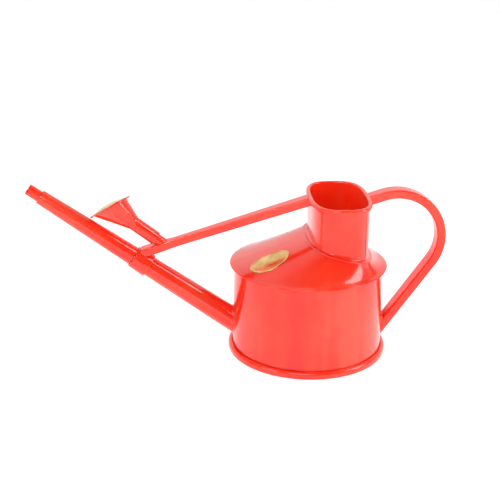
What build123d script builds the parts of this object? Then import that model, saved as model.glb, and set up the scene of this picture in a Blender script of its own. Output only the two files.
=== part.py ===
"""A small indoor watering can of glossy plastic, with a long two-part spout and a brass-faced rose.

Millimetres. The origin is the centre of the foot ring on the table, +Z is up, the spout points along -X and
the handle stands on +X. The plane Y = 0 cuts the can into two like halves, all but the turned rose.
"""
import os
from math import cos, pi, radians, sin, tan

from build123d import *

# ---- Tank: foot ring, wall and the cover's rim
FOOT_RADIUS = 57.5          # outside of the foot ring, where it stands
FOOT_HEIGHT = 5.2           # height of the foot ring, and of the wall's lower edge
FOOT_ROUND = 2.2            # rounding on the ring's upper outside edge
FOOT_RING_WIDTH = 6.5       # how wide the ring is underneath
FLOOR_THICKNESS = 1.8
UPSTAND_HEIGHT = 5.0        # ring on the floor that the wall is pushed over
UPSTAND_THICKNESS = 1.8
WALL_FOOT_RADIUS = 54.6     # outside of the wall at its lower edge
WALL_TOP_RADIUS = 53.2      # outside of the wall at its upper edge
WALL_THICKNESS = 1.6
RIM_RADIUS = 56.4           # outside of the cover's rim
RIM_BOTTOM = 65.0           # underside of the rim
RIM_EDGE = 0.6              # height of the rim's upright edge
RIM_INSIDE_RADIUS = 53.2    # where the sloping rim ends and the cover starts to rise
RIM_TOP = 66.9              # height there
WALL_SEAT_DEPTH = 0.9       # how far the wall reaches up into the rim
INNER_LIP = 1.4             # the cover's ring inside the wall
COVER_THICKNESS = 1.6

# ---- Filler neck
NECK_X = 20.3               # the neck's axis, set back from the can's own axis
NECK_HALF_X = 20.4          # outside of the neck wall, from its axis
NECK_HALF_Y = 36.0
NECK_POWER = 3.0            # power of the superellipse that the neck's plan follows
NECK_POINTS = 40            # points that the plan curve passes through
NECK_WALL = 1.6
NECK_TOP = 115.4
LIP_WIDTH = 1.5             # how far the lip stands out from the neck wall
LIP_HEIGHT = 3.0
LIP_ROUND = 1.3
LEDGE_WIDTH = 3.5           # how far the foot of the neck stands out from the neck wall
LEDGE_POWER = 2.6           # power of its superellipse, rounder than the neck's
LEDGE_THICKNESS = 1.2
LEDGE_HEIGHT = 79.5         # height of the ledge on the neck's axis
LEDGE_SLOPE = 14.3          # degrees that the ledge falls towards the handle
FLARE_RADIUS = 2.2          # concave rounding between ledge and neck wall

# ---- Spout: its axis leaves the wall at SPOUT_ROOT_Z and climbs along -X
SPOUT_ANGLE = 35.5          # degrees above the table
SPOUT_ROOT_X = -54.0
SPOUT_ROOT_Z = 21.3
ROOT_RADIUS = 8.4           # outside of the lower spout at the wall
ROOT_STRAIGHT = 9.0         # how far up the lower spout keeps that radius
LOWER_END_RADIUS = 7.1
LOWER_END = 80.5            # distance of its upper end from the root, along the axis
LOWER_WALL = 1.6
GUIDE_DEPTH = 9.0           # straight bore at its upper end
COLLAR_START = 73.9
COLLAR_END = 87.2
COLLAR_START_RADIUS = 8.6
COLLAR_END_RADIUS = 7.9
COLLAR_ROUND = 0.4
TAIL_RADIUS = 5.8           # the upper spout's plug that goes into the collar
TAIL_LENGTH = 11.0
TAIL_CLEARANCE = 0.05       # radial play of the plug
SEAT_GAP = 0.1              # gap between the upper spout's shoulder and the collar
UPPER_START_RADIUS = 6.8
UPPER_END_RADIUS = 5.1
UPPER_END = 164.2
UPPER_BORE_RADIUS = 4.2
TIP_SEAT_RADIUS = 3.7       # shank of the nozzle tip, pressed into the upper spout
TIP_SEAT_DEPTH = 8.0
TIP_SEAT_LEAD = 4.0         # where the bore narrows down to the seat
SPIGOT_RADIUS = 4.0         # nozzle tip and parking peg: what the rose pushes on to
SPIGOT_LENGTH = 9.8
SPIGOT_BORE_RADIUS = 2.8
SPIGOT_ROUND = 0.5
NOTCH_WIDTH = 1.8
NOTCH_DEPTH = 1.2

# ---- Stay: flat bar from collar to neck
STAY_BELOW_MOUTH = 0.1      # top of the bar below the neck's mouth, where it meets the neck
STAY_ANGLE = 17.45          # degrees that it falls towards the collar
STAY_THICKNESS = 6.0
STAY_NECK_WIDTH = 12.2
STAY_WAIST_X = -94.0        # where the bar is narrowest
STAY_WAIST_WIDTH = 6.2
STAY_END_X = -119.6         # end of the bar, on the collar
STAY_FOOT_WIDTH = 10.8      # from under the peg to the collar
STAY_ROUND = 1.2

# ---- Handle: straight from the neck, round one large bend, straight to the wall
BAR_WIDTH = 12.2            # across the can
BAR_THICKNESS = 6.4
BAR_ROUND = 1.3
BEND_X = 62.0
BEND_Z = 83.8
BEND_RADIUS = 32.9          # to the middle of the bar
TOP_SLOPE = 18.0            # degrees that it rises from the neck
LEG_SLOPE = 55.5            # degrees of the leg that runs down to the wall
HANDLE_PAD_WIDTH = 14.4
HANDLE_PAD_BOTTOM = 9.0
HANDLE_PAD_TOP = 26.6
HANDLE_PAD_DEPTH = 2.0      # how far the pad stands out from the wall

# ---- Rose, parked on its peg
PEG_X = -105.2              # middle of the peg's foot, on the stay's top
PEG_ANGLE = 37.6            # degrees above the table
PEG_EXPOSED = 4.4           # bare peg between the stay and the rose
PEG_IN_ROSE = 12.0
ROSE_CLEARANCE = 0.05       # radial play of the rose on peg or nozzle tip
SOCKET_DEPTH = 13.0
STEM_RADIUS = 4.95
STEM_LENGTH = 18.7
STEM_BORE_RADIUS = 3.0
HEAD_DISTANCE = 39.6        # from the stem's mouth to the middle of the face
HEAD_RADIUS = 15.6          # outside of the flange
HEAD_TILT = 28.7            # degrees that the face leans from square to the stem
HEAD_TURN = 32.5            # degrees that the rose is turned on its peg
CONE_RADIUS = 12.9          # outside of the cone under the flange
FLANGE_THICKNESS = 1.1
ROSE_WALL = 1.0
FACE_RADIUS = 14.7
FACE_THICKNESS = 0.6
FACE_RISE = 1.6             # how far the face bulges
FACE_HOLE_RADIUS = 0.45
FACE_RINGS = 5              # rings of holes round the middle one
FACE_RING_PITCH = 2.4
HOLES_PER_RING = 6          # added with each ring

# ---- Badge: blank oval plate on the near side of the cover
BADGE_X = -29.4
BADGE_Y = -20.6
BADGE_LENGTH = 27.5
BADGE_WIDTH = 21.5
BADGE_TURN = 12.0           # degrees, seen from above
BADGE_THICKNESS = 0.5

CUT = 200.0                 # longer than anything it cuts
TOLERANCE = 0.01            # when edges are picked by their size or place
TRIM = 0.3                  # how far a bar is drawn into a curved wall before it is cut to it


def wall_radius(height):
    """Outside radius of the tapered wall at a height above the table."""
    share = (height - FOOT_HEIGHT) / (WALL_TOP - FOOT_HEIGHT)
    return WALL_FOOT_RADIUS + share * (WALL_TOP_RADIUS - WALL_FOOT_RADIUS)


def lower_spout_radius(distance):
    """Outside radius of the lower spout at a distance from its root."""
    share = (distance - ROOT_STRAIGHT) / (LOWER_END - ROOT_STRAIGHT)
    return ROOT_RADIUS + max(share, 0) * (LOWER_END_RADIUS - ROOT_RADIUS)


def stay_top(x):
    """Height of the stay's top face."""
    return NECK_TOP - STAY_BELOW_MOUTH + (x - STAY_START_X) * tan(radians(STAY_ANGLE))


def neck_plan(grow, stretch=1.0, power=NECK_POWER):
    """Points of the neck's plan, grown by an amount, with its X stretched for a sloping plane."""
    half_x = (NECK_HALF_X + grow) * stretch
    half_y = NECK_HALF_Y + grow
    points = []
    for step in range(NECK_POINTS):
        turn = 2 * pi * step / NECK_POINTS
        reach = abs(cos(turn)) ** power + abs(sin(turn)) ** power
        scale = reach ** (-1 / power)
        points.append((half_x * scale * cos(turn), half_y * scale * sin(turn)))
    return points


def round_edges(solid, radius):
    """Circular edges of a solid that are at least as large as a radius."""
    circles = solid.edges().filter_by(GeomType.CIRCLE)
    return circles.filter_by(lambda e: e.radius > radius - TOLERANCE)


WALL_TOP = RIM_BOTTOM + WALL_SEAT_DEPTH
STAY_START_X = NECK_X - NECK_HALF_X + TRIM
LEDGE_STRETCH = 1 / cos(radians(LEDGE_SLOPE))
LEDGE_NORMAL = (sin(radians(LEDGE_SLOPE)), 0, cos(radians(LEDGE_SLOPE)))
LEDGE_DOWNHILL = (cos(radians(LEDGE_SLOPE)), 0, -sin(radians(LEDGE_SLOPE)))

ledge = Plane(origin=(NECK_X, 0, LEDGE_HEIGHT), x_dir=LEDGE_DOWNHILL, z_dir=LEDGE_NORMAL)
neck_mouth = Plane.XY.offset(NECK_TOP)
neck_mouth = neck_mouth.move(Location((NECK_X, 0, 0)))

spout_way = Vector(-cos(radians(SPOUT_ANGLE)), 0, sin(radians(SPOUT_ANGLE)))
spout_side = Vector(sin(radians(SPOUT_ANGLE)), 0, cos(radians(SPOUT_ANGLE)))
spout_root = Vector(SPOUT_ROOT_X, 0, SPOUT_ROOT_Z)
spout_axis = Axis(spout_root, spout_way)
spout_section = Plane(origin=spout_root, x_dir=spout_side, z_dir=(0, -1, 0))

peg_way = Vector(-cos(radians(PEG_ANGLE)), 0, sin(radians(PEG_ANGLE)))
peg_side = Vector(sin(radians(PEG_ANGLE)), 0, cos(radians(PEG_ANGLE)))
peg_foot = Vector(PEG_X, 0, stay_top(PEG_X))
peg_axis = Axis(peg_foot, peg_way)
peg_section = Plane(origin=peg_foot, x_dir=peg_side, z_dir=(0, -1, 0))
rose_mouth = peg_foot + peg_way * PEG_EXPOSED
rose_round = Plane(origin=rose_mouth, x_dir=peg_side, z_dir=peg_way)
turned_side = peg_side * cos(radians(HEAD_TURN)) + Vector(0, 1, 0) * sin(radians(HEAD_TURN))
face_way = peg_way * cos(radians(HEAD_TILT)) + turned_side * sin(radians(HEAD_TILT))
face_side = turned_side * cos(radians(HEAD_TILT)) - peg_way * sin(radians(HEAD_TILT))
rose_face_plane = Plane(origin=rose_mouth + peg_way * HEAD_DISTANCE, x_dir=face_side, z_dir=face_way)

os.makedirs("parts", exist_ok=True)

# ---- Solids that only shape others: what fills the tank, the neck and the collar
with BuildPart() as tank_filled:
    with BuildSketch(Plane.XZ):
        with BuildLine():
            Polyline(
                (0, 0),
                (wall_radius(0), 0),
                (wall_radius(WALL_TOP), WALL_TOP),
                (0, WALL_TOP),
                close=True,
            )
        make_face()
    revolve(axis=Axis.Z)

with BuildPart() as tank_inside:
    with BuildSketch(Plane.XZ):
        with BuildLine():
            Polyline(
                (0, 0),
                (wall_radius(0) - WALL_THICKNESS, 0),
                (wall_radius(WALL_TOP) - WALL_THICKNESS, WALL_TOP),
                (0, WALL_TOP),
                close=True,
            )
        make_face()
    revolve(axis=Axis.Z)

with BuildPart() as neck_filled:
    with BuildSketch(neck_mouth):
        with BuildLine():
            Spline(*neck_plan(0), periodic=True)
        make_face()
    extrude(amount=-(NECK_TOP - RIM_TOP))
    with BuildSketch(neck_mouth):
        with BuildLine():
            Spline(*neck_plan(LIP_WIDTH), periodic=True)
        make_face()
    extrude(amount=-LIP_HEIGHT)

with BuildPart() as cover_filled:
    with BuildSketch(Plane.XY.offset(RIM_TOP)):
        Circle(RIM_INSIDE_RADIUS)
    with BuildSketch(ledge):
        with BuildLine():
            Spline(*neck_plan(LEDGE_WIDTH, LEDGE_STRETCH, LEDGE_POWER), periodic=True)
        make_face()
    loft()

# ---- Base pan: floor, foot ring and the upstand that the wall is pushed over
with BuildPart() as base_pan:
    with BuildSketch(Plane.XZ):
        with BuildLine():
            floor_bottom = FOOT_HEIGHT - FLOOR_THICKNESS
            upstand_top = FOOT_HEIGHT + UPSTAND_HEIGHT
            upstand_foot = wall_radius(FOOT_HEIGHT) - WALL_THICKNESS
            upstand_head = wall_radius(upstand_top) - WALL_THICKNESS
            Polyline(
                (0, floor_bottom),
                (FOOT_RADIUS - FOOT_RING_WIDTH, floor_bottom),
                (FOOT_RADIUS - FOOT_RING_WIDTH, 0),
                (FOOT_RADIUS, 0),
                (FOOT_RADIUS, FOOT_HEIGHT),
                (upstand_foot, FOOT_HEIGHT),
                (upstand_head, upstand_top),
                (upstand_head - UPSTAND_THICKNESS, upstand_top),
                (upstand_head - UPSTAND_THICKNESS, FOOT_HEIGHT),
                (0, FOOT_HEIGHT),
                close=True,
            )
        make_face()
    revolve(axis=Axis.Z)
    ring_edges = round_edges(base_pan, FOOT_RADIUS)
    fillet(ring_edges.sort_by(Axis.Z)[-1], FOOT_ROUND)
    ring_edges = round_edges(base_pan, FOOT_RADIUS)
    chamfer(ring_edges.sort_by(Axis.Z)[0], FOOT_ROUND / 4)
base_pan.part.label = "base_pan"
export_step(base_pan.part, "parts/base_pan.step")

# ---- Tank wall: tapered shell, open above and below, with the hole that the spout goes through
with BuildPart() as tank_wall:
    with BuildSketch(Plane.XZ):
        with BuildLine():
            Polyline(
                (wall_radius(FOOT_HEIGHT) - WALL_THICKNESS, FOOT_HEIGHT),
                (wall_radius(FOOT_HEIGHT), FOOT_HEIGHT),
                (wall_radius(WALL_TOP), WALL_TOP),
                (wall_radius(WALL_TOP) - WALL_THICKNESS, WALL_TOP),
                close=True,
            )
        make_face()
    revolve(axis=Axis.Z)
    with BuildSketch(Plane(origin=spout_root, z_dir=spout_way)):
        Circle(ROOT_RADIUS)
    extrude(amount=2 * ROOT_STRAIGHT, both=True, mode=Mode.SUBTRACT)
tank_wall.part.label = "tank_wall"
export_step(tank_wall.part, "parts/tank_wall.step")

# ---- Shoulder cover: rises from the round rim to the sloping ledge, and grips the top of the wall
with BuildPart() as shoulder_cover:
    with BuildSketch(Plane.XZ):
        with BuildLine():
            Polyline(
                (0, RIM_BOTTOM),
                (RIM_RADIUS, RIM_BOTTOM),
                (RIM_RADIUS, RIM_BOTTOM + RIM_EDGE),
                (RIM_INSIDE_RADIUS, RIM_TOP),
                (0, RIM_TOP),
                close=True,
            )
        make_face()
    revolve(axis=Axis.Z)
    add(cover_filled.part)
    seat_outside = wall_radius(WALL_TOP)
    seat_inside = seat_outside - WALL_THICKNESS
    with BuildSketch(Plane.XY.offset(WALL_TOP)):
        Circle(seat_inside - INNER_LIP)
    with BuildSketch(ledge.offset(-COVER_THICKNESS)):
        with BuildLine():
            Spline(*neck_plan(LEDGE_WIDTH - COVER_THICKNESS, LEDGE_STRETCH, LEDGE_POWER), periodic=True)
        make_face()
    loft(mode=Mode.SUBTRACT)
    with BuildSketch(Plane.XY.offset(RIM_BOTTOM)):
        Circle(seat_inside - INNER_LIP)
    extrude(amount=WALL_SEAT_DEPTH, mode=Mode.SUBTRACT)
    add(tank_filled.part, mode=Mode.SUBTRACT)
    with BuildSketch(Plane.XY.offset(RIM_BOTTOM)):
        Circle(seat_inside)
        Circle(seat_inside - INNER_LIP, mode=Mode.SUBTRACT)
    extrude(amount=WALL_SEAT_DEPTH)
    with BuildSketch(neck_mouth):
        with BuildLine():
            Spline(*neck_plan(-NECK_WALL), periodic=True)
        make_face()
    extrude(amount=-(NECK_TOP - RIM_BOTTOM), mode=Mode.SUBTRACT)
shoulder_cover.part.label = "shoulder_cover"
export_step(shoulder_cover.part, "parts/shoulder_cover.step")

# ---- Filler neck: upright tube with a rounded lip and a flared foot that stands on the cover's ledge
with BuildPart() as filler_neck:
    with BuildSketch(neck_mouth):
        with BuildLine():
            Spline(*neck_plan(0), periodic=True)
        make_face()
    extrude(amount=-(NECK_TOP - RIM_TOP))
    split(bisect_by=ledge, keep=Keep.TOP)
    with BuildSketch(ledge):
        with BuildLine():
            Spline(*neck_plan(LEDGE_WIDTH, LEDGE_STRETCH, LEDGE_POWER), periodic=True)
        make_face()
    extrude(amount=LEDGE_THICKNESS)
    ledge_top = ledge.offset(LEDGE_THICKNESS)
    on_ledge = filler_neck.edges().filter_by(
        lambda e: abs(ledge_top.to_local_coords(e.position_at(0.3)).Z) < TOLERANCE
        and abs(ledge_top.to_local_coords(e.position_at(0.7)).Z) < TOLERANCE
    )
    fillet(on_ledge.sort_by(SortBy.LENGTH)[0], FLARE_RADIUS)
    with BuildSketch(neck_mouth):
        with BuildLine():
            Spline(*neck_plan(LIP_WIDTH), periodic=True)
        make_face()
    extrude(amount=-LIP_HEIGHT)
    lip_edges = filler_neck.edges().group_by(Axis.Z)[-1]
    fillet(lip_edges, LIP_ROUND)
    with BuildSketch(neck_mouth):
        with BuildLine():
            Spline(*neck_plan(-NECK_WALL), periodic=True)
        make_face()
    extrude(amount=-(NECK_TOP - RIM_BOTTOM), mode=Mode.SUBTRACT)
filler_neck.part.label = "filler_neck"
export_step(filler_neck.part, "parts/filler_neck.step")

# ---- Lower spout: tapered tube that ends flush with the inside of the wall
with BuildPart() as lower_spout:
    with BuildSketch(spout_section):
        with BuildLine():
            guide_start = LOWER_END - GUIDE_DEPTH
            guide_radius = TAIL_RADIUS + TAIL_CLEARANCE
            Polyline(
                (ROOT_RADIUS - LOWER_WALL, -2 * ROOT_STRAIGHT),
                (ROOT_RADIUS, -2 * ROOT_STRAIGHT),
                (ROOT_RADIUS, ROOT_STRAIGHT),
                (LOWER_END_RADIUS, LOWER_END),
                (guide_radius, LOWER_END),
                (guide_radius, guide_start),
                (lower_spout_radius(guide_start) - LOWER_WALL, guide_start - 1),
                (ROOT_RADIUS - LOWER_WALL, ROOT_STRAIGHT),
                close=True,
            )
        make_face()
    revolve(axis=spout_axis)
    add(tank_inside.part, mode=Mode.SUBTRACT)
lower_spout.part.label = "lower_spout"
export_step(lower_spout.part, "parts/lower_spout.step")

# ---- Collar: sleeve over the end of the lower spout, and the socket that takes the upper one
with BuildPart() as collar_filled:
    with BuildSketch(spout_section):
        with BuildLine():
            Polyline(
                (0, COLLAR_START),
                (COLLAR_START_RADIUS, COLLAR_START),
                (COLLAR_END_RADIUS, COLLAR_END),
                (0, COLLAR_END),
                close=True,
            )
        make_face()
    revolve(axis=spout_axis)

with BuildPart() as spout_collar:
    with BuildSketch(spout_section):
        with BuildLine():
            Polyline(
                (lower_spout_radius(COLLAR_START), COLLAR_START),
                (COLLAR_START_RADIUS, COLLAR_START),
                (COLLAR_END_RADIUS, COLLAR_END),
                (guide_radius, COLLAR_END),
                (guide_radius, LOWER_END),
                (LOWER_END_RADIUS, LOWER_END),
                close=True,
            )
        make_face()
    revolve(axis=spout_axis)
    fillet(round_edges(spout_collar, COLLAR_END_RADIUS), COLLAR_ROUND)
spout_collar.part.label = "spout_collar"
export_step(spout_collar.part, "parts/spout_collar.step")

# ---- Stay: flat bar, narrow at its waist, that widens into a foot on the collar
with BuildPart() as stay_bar:
    with BuildSketch(Plane.XZ):
        with BuildLine():
            stay_drop = STAY_THICKNESS / cos(radians(STAY_ANGLE))
            Polyline(
                (STAY_START_X, stay_top(STAY_START_X)),
                (STAY_END_X, stay_top(STAY_END_X)),
                (STAY_END_X, stay_top(STAY_END_X) - stay_drop),
                (STAY_START_X, stay_top(STAY_START_X) - stay_drop),
                close=True,
            )
        make_face()
    extrude(amount=STAY_NECK_WIDTH, both=True)
    with BuildSketch(Plane.XY):
        with BuildLine():
            Polyline(
                (STAY_START_X, STAY_NECK_WIDTH / 2),
                (STAY_WAIST_X, STAY_WAIST_WIDTH / 2),
                (PEG_X, STAY_FOOT_WIDTH / 2),
                (STAY_END_X, STAY_FOOT_WIDTH / 2),
                (STAY_END_X, -STAY_FOOT_WIDTH / 2),
                (PEG_X, -STAY_FOOT_WIDTH / 2),
                (STAY_WAIST_X, -STAY_WAIST_WIDTH / 2),
                (STAY_START_X, -STAY_NECK_WIDTH / 2),
                close=True,
            )
        make_face()
    extrude(amount=CUT, mode=Mode.INTERSECT)
    bar_edges = stay_bar.edges().filter_by(lambda e: abs(e.tangent_at(0.5).X) > 0.5)
    fillet(bar_edges, STAY_ROUND)
    add(neck_filled.part, mode=Mode.SUBTRACT)
    add(collar_filled.part, mode=Mode.SUBTRACT)
stay_bar.part.label = "stay_bar"
export_step(stay_bar.part, "parts/stay_bar.step")

# ---- Peg on the stay, as thick as the nozzle tip, where the rose is parked
with BuildPart() as rose_peg:
    with BuildSketch(peg_section):
        with BuildLine():
            peg_end = PEG_EXPOSED + PEG_IN_ROSE
            Polyline(
                (0, -2 * SPIGOT_RADIUS),
                (SPIGOT_RADIUS, -2 * SPIGOT_RADIUS),
                (SPIGOT_RADIUS, peg_end - SPIGOT_ROUND),
                (SPIGOT_RADIUS - SPIGOT_ROUND, peg_end),
                (0, peg_end),
                close=True,
            )
        make_face()
    revolve(axis=peg_axis)
    stay_normal = (-sin(radians(STAY_ANGLE)), 0, cos(radians(STAY_ANGLE)))
    split(bisect_by=Plane(origin=peg_foot, z_dir=stay_normal), keep=Keep.TOP)
rose_peg.part.label = "rose_peg"
export_step(rose_peg.part, "parts/rose_peg.step")

# ---- Handle: one bent bar, with a pad at the foot of its leg
def bend_point(radius, angle, along=0.0, way=0.0):
    """Point beside the handle's bend: out from its centre at an angle, then along a straight."""
    return (
        BEND_X + radius * cos(radians(angle)) + along * cos(radians(way)),
        BEND_Z + radius * sin(radians(angle)) + along * sin(radians(way)),
    )


top_angle = 90 + TOP_SLOPE
leg_angle = LEG_SLOPE - 90
top_run = (BEND_X - NECK_X) / cos(radians(TOP_SLOPE)) - NECK_HALF_X
leg_run = 2 * BEND_RADIUS
outside_radius = BEND_RADIUS + BAR_THICKNESS / 2
inside_radius = BEND_RADIUS - BAR_THICKNESS / 2
middle_angle = (top_angle + leg_angle) / 2

with BuildPart() as rear_handle:
    with BuildSketch(Plane.XZ):
        with BuildLine():
            Line(
                bend_point(outside_radius, top_angle, -top_run, TOP_SLOPE),
                bend_point(outside_radius, top_angle),
            )
            ThreePointArc(
                bend_point(outside_radius, top_angle),
                bend_point(outside_radius, middle_angle),
                bend_point(outside_radius, leg_angle),
            )
            Polyline(
                bend_point(outside_radius, leg_angle),
                bend_point(outside_radius, leg_angle, -leg_run, LEG_SLOPE),
                bend_point(inside_radius, leg_angle, -leg_run, LEG_SLOPE),
                bend_point(inside_radius, leg_angle),
            )
            ThreePointArc(
                bend_point(inside_radius, leg_angle),
                bend_point(inside_radius, middle_angle),
                bend_point(inside_radius, top_angle),
            )
            Polyline(
                bend_point(inside_radius, top_angle),
                bend_point(inside_radius, top_angle, -top_run, TOP_SLOPE),
                bend_point(outside_radius, top_angle, -top_run, TOP_SLOPE),
            )
        make_face()
    extrude(amount=BAR_WIDTH / 2, both=True)
    side_edges = rear_handle.edges().filter_by(
        lambda e: abs(abs(e.position_at(0.5).Y) - BAR_WIDTH / 2) < TOLERANCE
    )
    fillet(side_edges, BAR_ROUND)
    pad_middle = (HANDLE_PAD_TOP + HANDLE_PAD_BOTTOM) / 2
    pad_face = wall_radius(pad_middle) + HANDLE_PAD_DEPTH
    with BuildSketch(Plane(origin=(pad_face, 0, pad_middle), x_dir=(0, 1, 0), z_dir=(1, 0, 0))):
        RectangleRounded(HANDLE_PAD_WIDTH, HANDLE_PAD_TOP - HANDLE_PAD_BOTTOM, BAR_ROUND)
    extrude(amount=-2 * HANDLE_PAD_DEPTH)
    add(tank_filled.part, mode=Mode.SUBTRACT)
    add(neck_filled.part, mode=Mode.SUBTRACT)
rear_handle.part.label = "rear_handle"
export_step(rear_handle.part, "parts/rear_handle.step")

# ---- Upper spout: pulls out of the collar along the spout's axis
upper_start = COLLAR_END + SEAT_GAP
tail_end = upper_start - TAIL_LENGTH
tip_seat = UPPER_END - TIP_SEAT_DEPTH
with BuildPart() as upper_spout:
    with BuildSketch(spout_section):
        with BuildLine():
            Polyline(
                (UPPER_BORE_RADIUS, tail_end),
                (TAIL_RADIUS - SPIGOT_ROUND, tail_end),
                (TAIL_RADIUS, tail_end + SPIGOT_ROUND),
                (TAIL_RADIUS, upper_start),
                (UPPER_START_RADIUS, upper_start),
                (UPPER_END_RADIUS, UPPER_END),
                (TIP_SEAT_RADIUS, UPPER_END),
                (TIP_SEAT_RADIUS, tip_seat),
                (UPPER_BORE_RADIUS, tip_seat - TIP_SEAT_LEAD),
                close=True,
            )
        make_face()
    revolve(axis=spout_axis)
    end_edge = round_edges(upper_spout, UPPER_END_RADIUS).sort_by(Axis.Z)[-1]
    fillet(end_edge, COLLAR_ROUND)
upper_spout.part.label = "upper_spout"
export_step(upper_spout.part, "parts/upper_spout.step")

# ---- Nozzle tip: pressed into the upper spout, with a notch across its end
tip_end = UPPER_END + SPIGOT_LENGTH
with BuildPart() as nozzle_tip:
    with BuildSketch(spout_section):
        with BuildLine():
            Polyline(
                (SPIGOT_BORE_RADIUS, tip_seat),
                (TIP_SEAT_RADIUS, tip_seat),
                (TIP_SEAT_RADIUS, UPPER_END),
                (SPIGOT_RADIUS, UPPER_END),
                (SPIGOT_RADIUS, tip_end),
                (SPIGOT_BORE_RADIUS, tip_end),
                close=True,
            )
        make_face()
    revolve(axis=spout_axis)
    tip_edge = round_edges(nozzle_tip, SPIGOT_RADIUS).sort_by(Axis.Z)[-1]
    fillet(tip_edge, SPIGOT_ROUND)
    with BuildSketch(spout_section):
        with Locations((0, tip_end)):
            Rectangle(NOTCH_WIDTH, 2 * NOTCH_DEPTH)
    extrude(amount=2 * SPIGOT_RADIUS, both=True, mode=Mode.SUBTRACT)
nozzle_tip.part.label = "nozzle_tip"
export_step(nozzle_tip.part, "parts/nozzle_tip.step")

# ---- Rose body: stem with its socket, cone, and the leaning flange that holds the face
with BuildPart() as rose_body:
    with BuildSketch(rose_round):
        Circle(STEM_RADIUS)
    extrude(amount=STEM_LENGTH)
    with BuildSketch(rose_round.offset(STEM_LENGTH)):
        Circle(STEM_RADIUS)
    with BuildSketch(rose_face_plane.offset(-FLANGE_THICKNESS)):
        Circle(CONE_RADIUS)
    loft()
    with BuildSketch(rose_face_plane):
        Circle(HEAD_RADIUS)
    extrude(amount=-FLANGE_THICKNESS)
    with BuildSketch(rose_round.offset(STEM_LENGTH)):
        Circle(STEM_BORE_RADIUS)
    with BuildSketch(rose_face_plane.offset(-FLANGE_THICKNESS)):
        Circle(CONE_RADIUS - ROSE_WALL)
    loft(mode=Mode.SUBTRACT)
    with BuildSketch(rose_face_plane):
        Circle(CONE_RADIUS - ROSE_WALL)
    extrude(amount=-FLANGE_THICKNESS, mode=Mode.SUBTRACT)
    with BuildSketch(rose_face_plane):
        Circle(FACE_RADIUS)
    extrude(amount=-FACE_THICKNESS, mode=Mode.SUBTRACT)
    with BuildSketch(rose_round):
        Circle(STEM_BORE_RADIUS)
    extrude(amount=STEM_LENGTH, mode=Mode.SUBTRACT)
    with BuildSketch(rose_round):
        Circle(SPIGOT_RADIUS + ROSE_CLEARANCE)
    extrude(amount=SOCKET_DEPTH, mode=Mode.SUBTRACT)
rose_body.part.label = "rose_body"
export_step(rose_body.part, "parts/rose_body.step")

# ---- Rose face: thin domed disc with rings of fine holes, pressed into the flange
face_seat = rose_face_plane.offset(-FACE_THICKNESS)
face_section = Plane(origin=face_seat.origin, x_dir=face_seat.x_dir, z_dir=-face_seat.y_dir)
dome_radius = FACE_RADIUS - 2 * FACE_THICKNESS
sphere_radius = (dome_radius**2 + FACE_RISE**2) / (2 * FACE_RISE)
half_way = dome_radius / 2
half_height = FACE_RISE - sphere_radius + (sphere_radius**2 - half_way**2) ** 0.5
with BuildPart() as rose_face:
    with BuildSketch(face_section):
        with BuildLine():
            Line((0, FACE_RISE + FACE_THICKNESS), (0, FACE_RISE))
            ThreePointArc((0, FACE_RISE), (half_way, half_height), (dome_radius, 0))
            Polyline(
                (dome_radius, 0),
                (FACE_RADIUS, 0),
                (FACE_RADIUS, FACE_THICKNESS),
                (dome_radius, FACE_THICKNESS),
            )
            ThreePointArc(
                (dome_radius, FACE_THICKNESS),
                (half_way, half_height + FACE_THICKNESS),
                (0, FACE_RISE + FACE_THICKNESS),
            )
        make_face()
    revolve(axis=Axis(face_seat.origin, face_seat.z_dir))
    with BuildSketch(face_seat):
        Circle(FACE_HOLE_RADIUS)
        for ring in range(1, FACE_RINGS + 1):
            with PolarLocations(ring * FACE_RING_PITCH, ring * HOLES_PER_RING):
                Circle(FACE_HOLE_RADIUS)
    extrude(amount=2 * FACE_RISE + FACE_THICKNESS, mode=Mode.SUBTRACT)
rose_face.part.label = "rose_face"
export_step(rose_face.part, "parts/rose_face.step")

# ---- Badge: thin oval plate bent to the cover, with nothing written on it
with BuildPart() as oval_badge:
    with BuildSketch(Plane.XY.move(Location((BADGE_X, BADGE_Y, 0), (0, 0, BADGE_TURN)))):
        Ellipse(BADGE_LENGTH / 2, BADGE_WIDTH / 2)
    extrude(amount=CUT)
    add(cover_filled.part.moved(Location((0, 0, BADGE_THICKNESS))), mode=Mode.INTERSECT)
    add(cover_filled.part, mode=Mode.SUBTRACT)
oval_badge.part.label = "oval_badge"
export_step(oval_badge.part, "parts/oval_badge.step")
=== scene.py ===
# %% [markdown]
# # A glossy red watering can, piece by piece
#
# The object is a small indoor watering can: a round tank on a foot ring, a cover that turns from the round
# tank to an oval filler neck, a bent bar handle, a long spout in two parts, and a rose with a brass face
# that is parked on a peg. Its sizes were settled in CAD, and the frame loaded here holds every piece at its
# real size and place. The origin is the centre of the foot ring, +Z is up, the spout points along -X and
# the handle stands on +X.
#
# A moulded can lives from its gloss, and gloss shows every facet. So each piece is modelled again with
# smooth, closely spaced rings and rounded edges, and stands for its CAD piece.

# %% Load the frame
from math import cos, degrees, pi, radians, sin, sqrt, tan

import bmesh
import bpy
from mathutils import Matrix, Vector
from mathutils.kdtree import KDTree


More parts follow.
